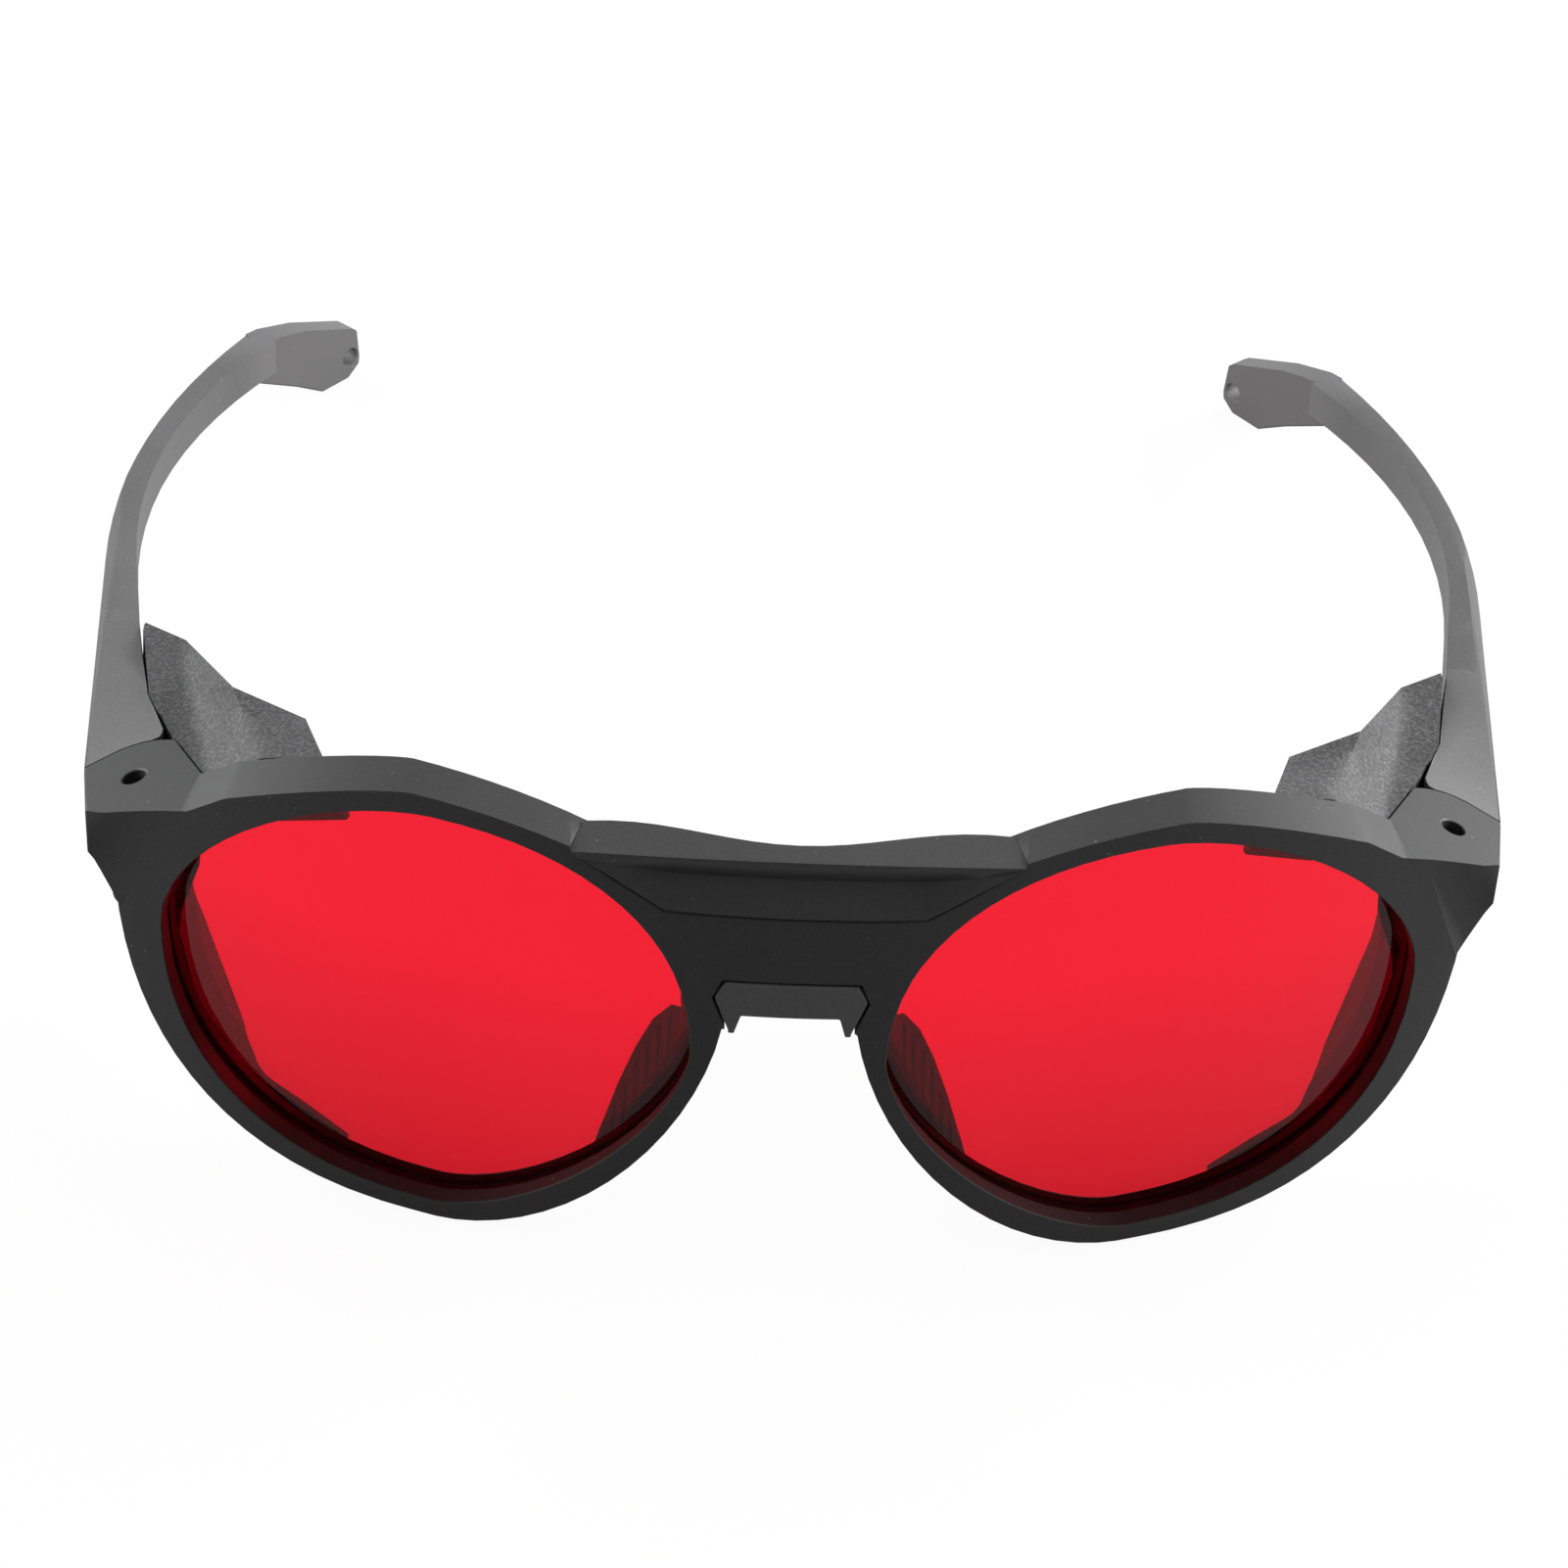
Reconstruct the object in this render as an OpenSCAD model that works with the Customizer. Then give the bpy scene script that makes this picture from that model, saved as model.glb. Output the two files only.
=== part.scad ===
// Wrap-round safety glasses: a one-piece front with two round rims, two tinted filter lenses,
// a snapped-on bridge cover, a rubber nose piece, soft side shields and two folding arms.
// x runs to the right as seen from the front, y from the front to the ear pieces, z up.
// Everything is drawn with the front upright and is then leaned back until it rests on
// the lower edge of the rims and on both ear pieces.

/* [Front frame] */
// Radius of the upright cylinder that the front face follows
wrap_r = 130; // [118:1:150]
// Depth of the rims at their top, from front face to rear face
rim_depth = 6.3; // [6:0.1:7.2]
// Lean of the rear face in degrees, which thins the rims towards their foot
rear_lean = 1.1; // [0.6:0.1:1.3]
// Outward splay of the rims' upper halves towards the rear, in degrees
rim_splay = 2; // [0:0.5:4]
// Fall of the rims' top towards the rear, in degrees
top_fall = 9.5; // [8:0.5:11]
// Distance of a rim's widest point from the middle of the front
rim_x = 36; // [35.5:0.1:38]
// Reach of a rim from there towards the nose
rim_in = 29.7; // [29:0.1:30.2]
// Reach of a rim from there towards the hinge
rim_out = 34.2; // [33:0.1:36]
// Height of a rim above its widest point
rim_up = 19.3; // [18.8:0.1:20.5]
// Distance of a rim's highest point from its widest point, towards the hinge
rim_peak = 2.2; // [1:0.2:3.4]
// Height of a rim below its widest point
rim_down = 38.6; // [37:0.1:41]

/* [Lenses] */
// Width of the rim beside the lens, at the nose
wall_nose = 3.7; // [3.3:0.1:4.2]
// Width of the rim beside the lens, at the hinge
wall_hinge = 5.1; // [4.8:0.1:5.8]
// Width of the rim over the lens
wall_top = 2.6; // [2:0.1:3]
// Width of the rim under the lens
wall_foot = 2.2; // [2:0.1:3]
// Height of the widest point of a lens
lens_z = 29; // [28:0.1:31]
// Turn of each lens opening about an upright axis, in degrees
lens_turn = 12; // [8:1:14]
// Distance of the lens face behind the front face
lens_setback = 2.2; // [1.8:0.1:2.4]
// Thickness of a lens
lens_t = 2; // [1.6:0.1:2.2]
// Depth of the groove that holds a lens
groove = 0.8; // [0.6:0.1:1]

/* [Bridge] */
// Half width of the bridge cover along its top
cover_half = 22.4; // [21.6:0.1:23]
// Height of the cover's top edge in the middle
cover_top = 56; // [55.6:0.1:56.8]
// Drop of that edge from the middle to the ends
cover_drop = 0.9; // [0.4:0.1:1.2]
// Height of the cover from its lower edge to its top in the middle
cover_h = 7.7; // [7.1:0.1:8.3]
// Height of the cover over the frame's edge between the rims
cover_cap = 3.4; // [3:0.1:4.1]
// Half width of the cover along its lower edge
cover_foot_half = 13; // [12:0.1:13.6]
// Thickness of the cover in front of the bridge
cover_t = 2.2; // [1.8:0.1:2.6]
// Depth of the long crease in the cover's face
crease_depth = 1.2; // [0.6:0.1:1.4]
// Diameter of the cover's snap pegs
peg_d = 2; // [1.6:0.1:2.2]

/* [Nose piece] */
// Half width of the notch over the nose at its widest
notch_half = 8; // [7.6:0.1:8.3]
// Height of the top of the notch
notch_top = 39.6; // [39:0.1:41]
// Height of the foot of the notch
notch_foot = 32.9; // [32.4:0.1:33.4]
// Visible slit between the saddle and the notch
notch_gap = 0.3; // [0.15:0.05:0.4]
// Length of a nose pad
pad_len = 24; // [21:0.5:24.5]
// Slope of the nose pads from upright, in degrees
pad_slope = 24.5; // [23:0.5:26]
// Thickness of a nose pad
pad_t = 2.4; // [1.8:0.1:2.6]
// Reach of the nose pads behind the rims
pad_reach = 5.4; // [4.6:0.2:6.4]
// Number of grooves across a nose pad
pad_grooves = 8; // [5:1:9]

/* [Hinges] */
// Distance of the hinge screw inside the outer edge of the rim
hinge_inset = 2; // [1.7:0.1:2.3]
// Distance of the hinge screw behind the front face
hinge_back = 5.9; // [5.7:0.1:6.4]
// Height of the hinge lug's top at the screw
lug_top = 42.1; // [41.6:0.1:42.8]
// Height of the outer face of the hinge lug
lug_side = 5.2; // [4.6:0.1:5.6]
// Distance from the screw to the outer face of the lug
lug_out = 5.8; // [5.5:0.1:6.2]
// Slit between the lug and the arm
seam_gap = 0.2; // [0.15:0.05:0.3]
// Height of the arm's hinge tongue
tongue_h = 5; // [4.4:0.1:5.4]
// Radius of the hinge tongue's round end
tongue_r = 2.8; // [2.6:0.1:2.9]
// Diameter of the hinge screw's shank
screw_d = 1.8; // [1.4:0.1:1.9]
// Diameter of the hinge screw's head
screw_head_d = 2.3; // [2.1:0.1:2.6]
// Diameter of the threaded insert in the lower ear
insert_d = 3; // [2.8:0.1:3.2]
// Running clearance of the hinge, on each side
hinge_play = 0.05; // [0.03:0.01:0.08]

/* [Arms] */
// Outward bow of the arms beyond the hinge screw
arm_bow = 9.5; // [8.5:0.1:10.5]
// Distance from the screw to the widest point of the arms
arm_bow_back = 58.8; // [56:0.2:62]
// Radius of the outer face of the arms behind there
arm_r = 112; // [105:1:120]
// Thickness of the arms at their widest point
arm_t = 2.9; // [2.6:0.1:3.4]
// Distance from the screw to the elbow in front of the ear piece
elbow_back = 106.3; // [102:0.5:110]
// Turn of the ear pieces from straight back, in degrees
ear_turn = 38; // [34:1:42]
// Length of the ear pieces from the elbow
ear_len = 15; // [14:0.1:16.5]
// Thickness of the ear pieces at their tip
ear_t = 2.4; // [2:0.1:2.8]
// Diameter of the cord holes in the ear pieces
leash_d = 2.6; // [2:0.1:2.8]

/* [Side shields] */
// Thickness of the side shields
shield_t = 1.4; // [1.1:0.1:1.6]
// Slit between a shield and the arm beside it
shield_gap = 0.3; // [0.25:0.05:0.4]

/* [Hidden] */
$fn = 64;
reach = 200;
fit = 0.05;
rim_steps = 72;
lens_steps = 64;
// Fullness of a rim's outline: over and under its widest point, outer and inner side
rim_n = [1.31, 1.9, 1.81, 2.75];
lens_n = [1.65, 2.18, 1.58, 2.44];

rim_top = rim_down + rim_up;
bridge_top = cover_top - cover_cap;
cover_foot = cover_top - cover_h;
rear_r = wrap_r - rim_depth;

function front_y(x) = wrap_r - sqrt(wrap_r * wrap_r - x * x);
function rear_y(x, z) = rim_depth + (rear_r - sqrt(rear_r * rear_r - x * x)) / cos(rear_lean)
  - (rim_top - z) * tan(rear_lean);

// Closed curve with its own reach in four directions and its own fullness in each quarter
function lame(inner, outer, up, down, n, steps) = [for (i = [0 : steps - 1])
  let (t = 360 * i / steps, c = cos(t), s = sin(t),
    a = c > 0 ? outer : inner, b = s > 0 ? up : down,
    e = s > 0 ? (c > 0 ? n[0] : n[1]) : (c > 0 ? n[3] : n[2]))
  [a * sign(c) * pow(abs(c), 2 / e), b * sign(s) * pow(abs(s), 2 / e)]];
function arc(cx, cy, r, from, to, steps) = [for (i = [0 : steps])
  let (t = from + (to - from) * i / steps) [cx + r * cos(t), cy + r * sin(t)]];
function moved(points, dx, dy) = [for (p = points) [p[0] + dx, p[1] + dy]];
function mid(a, b) = (a + b) / 2;

rim_line = [for (p = lame(rim_in, rim_out, rim_up, rim_down, rim_n, rim_steps))
  let (share = 1 - abs(p[0]) / (p[0] > 0 ? rim_out : rim_in))
  [rim_x + p[0] + (p[1] > 0 ? rim_peak * share : 0), rim_down + p[1]]];

// Hinge, measured in plan from the screw
pivot = [rim_x + rim_out - hinge_inset, front_y(rim_x + rim_out - hinge_inset) + hinge_back];
slope_x = -0.385;
slope_y = -0.14;
seam_out = pivot + [lug_out, 4.3];
seam_in = pivot + [-2.3, 8.3];
lug_front = pivot + [lug_out - 1.2, -4.3];
slit_end = pivot + [-7.2, -2.7];
seam_dir = (seam_in - seam_out) / norm(seam_in - seam_out);
seam_normal = [-seam_dir[1], seam_dir[0]];
seam_n = seam_normal[1] > 0 ? seam_normal : -seam_normal;
seam_d = (seam_out - pivot) * seam_n;
tongue_z = lug_top - 11.1;
slot_play = 0.1;
neck_in = 1.9;
neck_out = tongue_r;
boss_r = 2.9;
ear_foot = tongue_z - slot_play - 4.6;
crease_top = [pivot[0] - 5.9, lug_top + 3.9];
crease_foot = [rim_x + rim_out - 0.5, rim_down - 9.9];
scoop_r = 28;
lug_low = lug_top - lug_side - 1.1;

// Height of the sloping top face that the lug and the arm share
function lug_z(x, y) = lug_top + slope_x * (x - pivot[0]) + slope_y * (y - pivot[1]);

// Arm in plan
bow_y = pivot[1] + arm_bow_back;
outer_c = [pivot[0] + arm_bow - arm_r, bow_y];
inner_r = arm_r - 25;
inner_c = [pivot[0] + arm_bow - arm_t - inner_r, bow_y + 4];
elbow_y = pivot[1] + elbow_back;
outer_end = asin((elbow_y - outer_c[1]) / arm_r);
inner_end = asin((elbow_y - 0.5 - inner_c[1]) / inner_r);
elbow_in = inner_c + inner_r * [cos(inner_end), sin(inner_end)];
elbow_out = outer_c + arm_r * [cos(outer_end), sin(outer_end)];
ear_dir = [-sin(ear_turn), cos(ear_turn)];
ear_n = [cos(ear_turn), sin(ear_turn)];
kink = seam_in + [2.7, 8.2];
shield_tip = seam_in + [5.5, 26.5];

// Side view of the arm as [distance behind the screw, height]
arm_fall = 0.16;
top_kink = lug_z(kink[0], kink[1]);
arm_top = [[5, top_kink + 4.7], [16.5, top_kink], [27.8, top_kink - 4.1], [35, top_kink - 5.2],
  [50, top_kink - 7.6], [60, top_kink - 9.2], [75, top_kink - 11.7],
  [elbow_back + 1, top_kink - 11.7 - (elbow_back - 74) * arm_fall]];
arm_end_z = arm_top[7][1];
arm_foot = [[elbow_back + 1, arm_end_z - 5.1], [75, arm_end_z + 0.3], [25, tongue_z - 0.4], [2, tongue_z - 1.5]];

// Outline of the ear piece as [distance from the elbow, height over the arm's end]
ear_line = [[-4, 0.5], [0, 0.1], [5.5, -1.7], [ear_len - 1.2, -5.6], [ear_len - 0.4, -6.3],
  [ear_len, -10.3], [ear_len - 0.2, -11.7], [ear_len - 1.9, -12.8], [ear_len - 6.6, -12.5],
  [3.9, -9.4], [-2.5, -5.5], [-4, -5.3]];
leash_at = [ear_len - 1.7, arm_end_z - 9.7];
ear_low = [ear_len - 1.9, arm_end_z - 12.8];

// Pose on the table: leaned back until the rims' foot and the ear pieces both touch it
pad_y = elbow_in[1] + ear_dir[1] * ear_low[0] + ear_n[1] * (ear_t + 0.14);
rest_tilt = max([for (p = rim_line) atan((ear_low[1] - p[1]) / (pad_y - rear_y(p[0], p[1])))]);
rest_low = min([for (p = rim_line) p[1] * cos(rest_tilt) - rear_y(p[0], p[1]) * sin(rest_tilt)]);
front_most = min([for (p = rim_line) front_y(p[0]) * cos(rest_tilt) + p[1] * sin(rest_tilt)]);
tip_y = elbow_in[1] + ear_dir[1] * ear_len + ear_n[1] * ear_t;
rear_most = tip_y * cos(rest_tilt) + (arm_end_z - 7.5) * sin(rest_tilt);
middle_y = mid(front_most, rear_most);

module settled() translate([0, -middle_y, -rest_low]) rotate([-rest_tilt, 0, 0]) children();

module left() mirror([1, 0, 0]) children();

module both() {
  children();
  left() children();
}

// Outline drawn in x and z, made solid from one depth to another
module along_y(from, to) translate([0, to, 0]) rotate([90, 0, 0]) linear_extrude(to - from) children();

// Outline drawn in y and z, made solid across x
module along_x(from, to) translate([from, 0, 0]) rotate([90, 0, 90]) linear_extrude(to - from) children();

// Everything on the side of a plane that its normal points to
module beyond(point, normal) translate(point)
  rotate([0, acos(normal[2] / norm(normal)), atan2(normal[1], normal[0])])
    translate([-reach, -reach, 0]) cube([2 * reach, 2 * reach, reach]);

module wrap(r) translate([0, wrap_r, -reach / 2]) cylinder(r = r, h = reach);

module rear_wrap(inset) translate([0, rim_depth, rim_top]) rotate([-rear_lean, 0, 0])
  translate([0, rear_r, -reach / 2]) cylinder(r = rear_r - inset, h = reach);

// Lens outline in its own turned frame; grow widens it all round
function lens_u(x) = (x - rim_x) * cos(lens_turn) + (front_y(x) - front_y(rim_x)) * sin(lens_turn);
lens_shift = 0.5;
open_in = lens_shift - lens_u(rim_x - rim_in + wall_nose);
open_out = lens_u(rim_x + rim_out - wall_hinge) - lens_shift;
open_up = rim_top - wall_top - lens_z;
open_down = lens_z - wall_foot;

module lens_prism(grow) translate([rim_x, front_y(rim_x), 0]) rotate([0, 0, lens_turn])
  along_y(-20, 30) polygon(moved(lame(open_in + grow, open_out + grow, open_up + grow, open_down + grow,
    lens_n, lens_steps), lens_shift, lens_z));

module lens_shell(grow, gap) intersection() {
  difference() {
    wrap(wrap_r - lens_setback + gap);
    wrap(wrap_r - lens_setback - lens_t - gap);
  }
  lens_prism(grow);
}

// Hinge lug: a block behind and beside the rim, with a hollowed facet at its front
module lug() difference() {
  intersection() {
    translate([0, 0, ear_foot]) linear_extrude(lug_top)
      polygon([pivot + [-10, -14.5], lug_front, seam_out, seam_in, slit_end, slit_end - [3, 3.4]]);
    along_y(0, 60) polygon([[crease_top[0] - 6, lug_top + 10], [seam_out[0] + 5, lug_top + 10],
      [seam_out[0] + 5, lug_low], [lug_front[0], lug_low], [crease_foot[0], crease_foot[1]],
      [crease_top[0] - 6, crease_foot[1]]]);
    union() {
      wrap(wrap_r);
      along_y(0, 60) polygon([crease_top + [0, 8], crease_top, crease_foot, crease_foot + [12, 0],
        crease_top + [20, 8]]);
    }
  }
  beyond([pivot[0], pivot[1], lug_top], [-slope_x, -slope_y, 1]);
  lug_scoop();
}

// The facet is part of a cylinder whose axis runs along the crease between rim and lug
module lug_scoop() {
  a = [crease_top[0], front_y(crease_top[0]) - 0.05, crease_top[1]];
  b = [crease_foot[0], front_y(crease_foot[0]) - 0.05, crease_foot[1]];
  c = [lug_front[0], lug_front[1], lug_low];
  axis = (b - a) / norm(b - a);
  across = (c - a) - axis * ((c - a) * axis);
  width = norm(across);
  side = across / width;
  out = cross(side, axis);
  depth = sqrt(scoop_r * scoop_r - width * width / 4);
  centre = a + side * width / 2 + (out[1] < 0 ? out : -out) * depth;
  translate(centre) rotate([0, acos(axis[2]), atan2(axis[1], axis[0])])
    translate([0, 0, -reach / 2]) cylinder(r = scoop_r, h = reach, $fn = 96);
}

module lug_boss() translate([pivot[0], pivot[1], ear_foot]) cylinder(r = boss_r, h = 4);

// Room for the tongue and for its swing towards the nose
module tongue_slot() translate([0, 0, tongue_z - slot_play]) linear_extrude(tongue_h + 2 * slot_play) {
  translate(pivot) circle(r = tongue_r + 0.15);
  polygon([pivot + [neck_out + 0.15, 0], pivot + [neck_out + 0.15, 14], pivot + [-20, 14],
    pivot + [-20, -neck_in - 0.15], pivot + [0, -neck_in - 0.15]]);
}

// From the point of the seam nearest the screw, the seam runs on as an arc about the screw
// towards the nose, so that the arm can swing past the lug. Drawn on the arm's side of the seam.
module swing_zone(gap) translate([pivot[0], pivot[1], -1]) rotate([0, 0, atan2(seam_n[1], seam_n[0])])
  difference() {
    cube([15, 15, lug_top + 12]);
    translate([0, 0, -1]) cylinder(r = seam_d + gap, h = lug_top + 14);
  }

module screw_bores() translate([pivot[0], pivot[1], 0]) {
  cylinder(r = screw_d / 2 + hinge_play, h = lug_top + 5);
  translate([0, 0, lug_top - 3]) cylinder(r = screw_head_d / 2 + hinge_play, h = 8);
  translate([0, 0, ear_foot - 2]) cylinder(r = insert_d / 2, h = tongue_z - ear_foot + 2);
}

// Outline of the bridge cover seen from the front, open at its top; gap leaves a slit round it
cover_open = 5;
module cover_line(gap) polygon([[cover_half + gap, cover_top + cover_open], [cover_half + gap, cover_corner],
  [cover_foot_half, cover_foot - gap], [-cover_foot_half, cover_foot - gap], [-cover_half - gap, cover_corner],
  [-cover_half - gap, cover_top + cover_open]]);

module cover_seat(gap) intersection() {
  along_y(-10, 30) cover_line(gap);
  union() {
    difference() {
      wrap(wrap_r + 5);
      wrap(wrap_r - cover_t - gap);
    }
    translate([-reach, -reach, bridge_top - gap]) cube([2 * reach, 2 * reach, reach]);
  }
}

module cover_pegs(gap) both() translate([cover_foot_half + 1, rim_depth - 1.9, bridge_top - 4 - gap])
  cylinder(r = peg_d / 2 + gap, h = 4.2 + gap);

module notch_outline(gap) polygon([[-notch_half + 1 + gap, notch_top - gap], [notch_half - 1 - gap, notch_top - gap],
  [notch_half - gap, notch_top - 2.3], [notch_half - 1.5 - gap, notch_foot], [notch_half - 1.5 - gap, notch_foot - 3],
  [-notch_half + 1.5 + gap, notch_foot - 3], [-notch_half + 1.5 + gap, notch_foot], [-notch_half + gap, notch_top - 2.3]]);

// Upper half of a rim, drawn so that its outline lies on the front face; behind it the outline
// splays outward and falls
function upper_point(dx, dy, z) = [dx * cos(rim_splay) - dy * sin(rim_splay),
  (dx * sin(rim_splay) + dy * cos(rim_splay)) * sin(top_fall) + z * cos(top_fall)];

module upper_rim() translate([rim_x, front_y(rim_x), rim_down]) rotate([-top_fall, 0, -rim_splay])
  along_y(-30, 60) polygon([for (p = rim_line) if (p[1] >= rim_down)
    upper_point(p[0] - rim_x, front_y(p[0]) - front_y(rim_x), p[1] - rim_down)]);

// Valley between rim and lug: what stands over both the lug's top and a slope up to the rim
valley_x = slit_end[0] + 0.7;
valley_foot = [valley_x, front_y(valley_x), lug_z(valley_x, front_y(valley_x))];
valley_end = [slit_end[0], slit_end[1], lug_z(slit_end[0], slit_end[1])];
valley_rise = valley_foot + [-4, front_y(valley_x - 4) - front_y(valley_x), 3.6];
module rim_valley() intersection() {
  beyond([pivot[0], pivot[1], lug_top], [-slope_x, -slope_y, 1]);
  beyond(valley_foot, cross(valley_end - valley_foot, valley_rise - valley_foot));
}

module front_frame() color("#3d3e40") settled() difference() {
  union() {
    intersection() {
      difference() {
        wrap(wrap_r);
        rear_wrap(0);
      }
      union() {
        both() along_y(-5, 60) polygon([for (p = rim_line) if (p[1] <= rim_down + 1) p]);
        both() upper_rim();
        along_y(-5, 60) translate([-cover_half + 4, notch_foot])
          square([2 * cover_half - 8, bridge_top + 0.2 - notch_foot]);
      }
    }
    both() lug();
    both() lug_boss();
  }
  both() lens_prism(0);
  both() lens_shell(groove, fit);
  both() tongue_slot();
  both() swing_zone(0);
  both() screw_bores();
  both() rim_valley();
  cover_seat(fit);
  cover_pegs(fit);
  along_y(-5, 60) notch_outline(0);
}

module lens() settled() lens_shell(groove - fit, 0);
module lens_right() color("#e8203c") lens();
module lens_left() color("#e8203c") left() lens();

// Section of the long crease in the cover at x: lip, crease, lower edge and a point in front.
// Beyond the foot's corners the crease rises with the cover's slanting edge and runs out.
crease_rim = 0.35;
crease_run_out = 10.5;
function crease_part(x) = let (over = max(0, abs(x) - cover_foot_half), k = 1 - 1.5 * over / crease_run_out,
    lip = cover_top - cover_drop * pow(x / cover_half, 2) - crease_rim, y = front_y(x) - cover_proud,
    low = min(cover_foot + crease_rim + over * cover_slant, lip - 0.6))
  [[x, y - 0.04, lip], [x, y + crease_depth * k, (lip + low) / 2], [x, y - 0.04, low], [x, y - 3, (lip + low) / 2]];

module crease_cutter() {
  ends = cover_foot_half + crease_run_out;
  stations = [-ends, -cover_foot_half - 5, -cover_foot_half, -6, 0, 6, cover_foot_half, cover_foot_half + 5, ends];
  n = len(stations);
  polyhedron(points = [for (x = stations) each crease_part(x)], faces = concat(
    [[3, 2, 1, 0], [for (k = [0 : 3]) (n - 1) * 4 + k]],
    [for (i = [0 : n - 2]) for (k = [0 : 3]) each [[i * 4 + k, i * 4 + (k + 1) % 4, i * 4 + 4 + k],
      [i * 4 + (k + 1) % 4, i * 4 + 4 + (k + 1) % 4, i * 4 + 4 + k]]]));
}

// The cover's top is part of a wide cylinder that falls towards the scooped rear edge
cover_proud = 0.3;
cover_rear = 3;
cover_rear_end = 7.4;
cover_scoop = 20;
cover_fall = 10;
cover_corner = cover_top - cover_drop - 0.6;
cover_slant = (cover_corner - cover_foot) / (cover_half - cover_foot_half);
crown_r = cover_half * cover_half / (2 * cover_drop);
function cover_rear_y(x) = cover_rear + (cover_rear_end - cover_rear) * pow(sin(90 * min(1, abs(x) / cover_scoop)), 2);

module cover_crown() translate([0, -cover_proud, cover_top]) rotate([-cover_fall, 0, 0])
  translate([0, -reach / 2, -crown_r]) rotate([-90, 0, 0]) cylinder(r = crown_r, h = reach, $fn = 360);

module bridge_cover() color("#333436") settled() difference() {
  union() {
    intersection() {
      cover_seat(0);
      wrap(wrap_r + cover_proud);
      cover_crown();
      linear_extrude(2 * cover_top) polygon(concat([[cover_half + 1, -5], [-cover_half - 1, -5]],
        [for (i = [-10 : 10]) let (x = (cover_half + 1) * i / 10) [x, cover_rear_y(x)]]));
    }
    cover_pegs(0);
  }
  crease_cutter();
  both() lens_shell(groove, fit);
}

// Frame of a nose pad: z runs up along the pad, x away from the nose, y to the rear
pad_top = [rim_x - rim_in + 2.5, rim_down - 11.1];
pad_front = rim_depth + 0.8;
module pad_frame() translate([pad_top[0], 0, pad_top[1]]) rotate([0, -pad_slope, 0]) children();

// Nose side and outer side of a pad's section; the pad leans outward towards the rear
function pad_side(off) = [for (i = [0 : 6]) let (v = i / 6)
  [off + 0.2 + v + 0.8 * v * v, pad_front + (pad_reach + 1) * v]];

module pad_section() polygon(concat(pad_side(-pad_t / 2),
  [for (i = [6 : -1 : 0]) pad_side(pad_t / 2)[i]]));

module pad_skin(deep) polygon(concat(pad_side(pad_t / 2 - deep),
  [for (i = [6 : -1 : 0]) pad_side(pad_t / 2 + 1)[i]]));

// Side outline of a pad, as distance down the pad and distance behind its front
module pad_outline() polygon([[0, 0], [-0.4, 0.45 * pad_reach], [-2.2, 0.8 * pad_reach], [-0.24 * pad_len, pad_reach],
  [-0.42 * pad_len, 0.97 * pad_reach], [-0.62 * pad_len, 0.8 * pad_reach], [-0.83 * pad_len, 0.5 * pad_reach],
  [-pad_len, 0.2 * pad_reach], [-pad_len, 0]]);

// The outline made solid across the pad; inset moves it forward
pad_rim = 1.1;
module pad_view(inset) translate([-20, pad_front - inset, 0]) rotate([90, 0, 90]) linear_extrude(40)
  rotate(90) mirror([0, 1]) pad_outline();

module nose_pad() settled() pad_frame() difference() {
  intersection() {
    translate([0, 0, -pad_len]) linear_extrude(pad_len) pad_section();
    pad_view(0);
  }
  for (i = [0 : pad_grooves - 1]) intersection() {
    translate([0, 0, -pad_len]) linear_extrude(pad_len) pad_skin(0.4);
    pad_view(pad_rim);
    translate([-20, pad_front + 3, -pad_len * (i + 1.2) / (pad_grooves + 1)]) rotate([30, 0, 0])
      translate([0, -10, -0.45]) cube([40, 40, 0.9]);
  }
}

module nose_pad_right() color("#2c2c2e") nose_pad();
module nose_pad_left() color("#2c2c2e") left() nose_pad();

// Saddle: a plug in the notch with a yoke behind the bridge that carries both pads
yoke_t = 2;
module nose_saddle() color("#343537") settled() union() {
  intersection() {
    difference() {
      wrap(wrap_r);
      rear_wrap(fit + yoke_t / 2);
    }
    along_y(-5, 30) difference() {
      notch_outline(notch_gap);
      polygon([[-notch_half + 3, notch_foot + 2], [notch_half - 3, notch_foot + 2], [notch_half - 2.4, notch_foot - 0.3],
        [notch_half, notch_foot - 0.3], [notch_half, notch_foot - 5], [-notch_half, notch_foot - 5],
        [-notch_half, notch_foot - 0.3], [-notch_half + 2.4, notch_foot - 0.3]]);
    }
  }
  difference() {
    intersection() {
      difference() {
        rear_wrap(fit);
        rear_wrap(fit + yoke_t);
      }
      along_y(0, 30) yoke_outline();
    }
    both() pad_frame() translate([-20, 0, -reach + 0.02]) cube([40, 40, reach]);
  }
}

module yoke_outline() polygon([[-notch_half - 1.4, notch_top + 1], [notch_half + 1.4, notch_top + 1],
  [pad_top[0] + 2.2, notch_foot - 1], [pad_top[0] + 1.6, pad_top[1] - 4], [pad_top[0] - 1.1, pad_top[1] - 4],
  [pad_top[0] - 1.5, notch_foot - 0.3], [notch_half - 2.4, notch_foot - 0.3], [notch_half - 3, notch_foot + 2],
  [-notch_half + 3, notch_foot + 2], [-notch_half + 2.4, notch_foot - 0.3], [-pad_top[0] + 1.5, notch_foot - 0.3],
  [-pad_top[0] + 1.1, pad_top[1] - 4], [-pad_top[0] - 1.6, pad_top[1] - 4], [-pad_top[0] - 2.2, notch_foot - 1]]);

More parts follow.
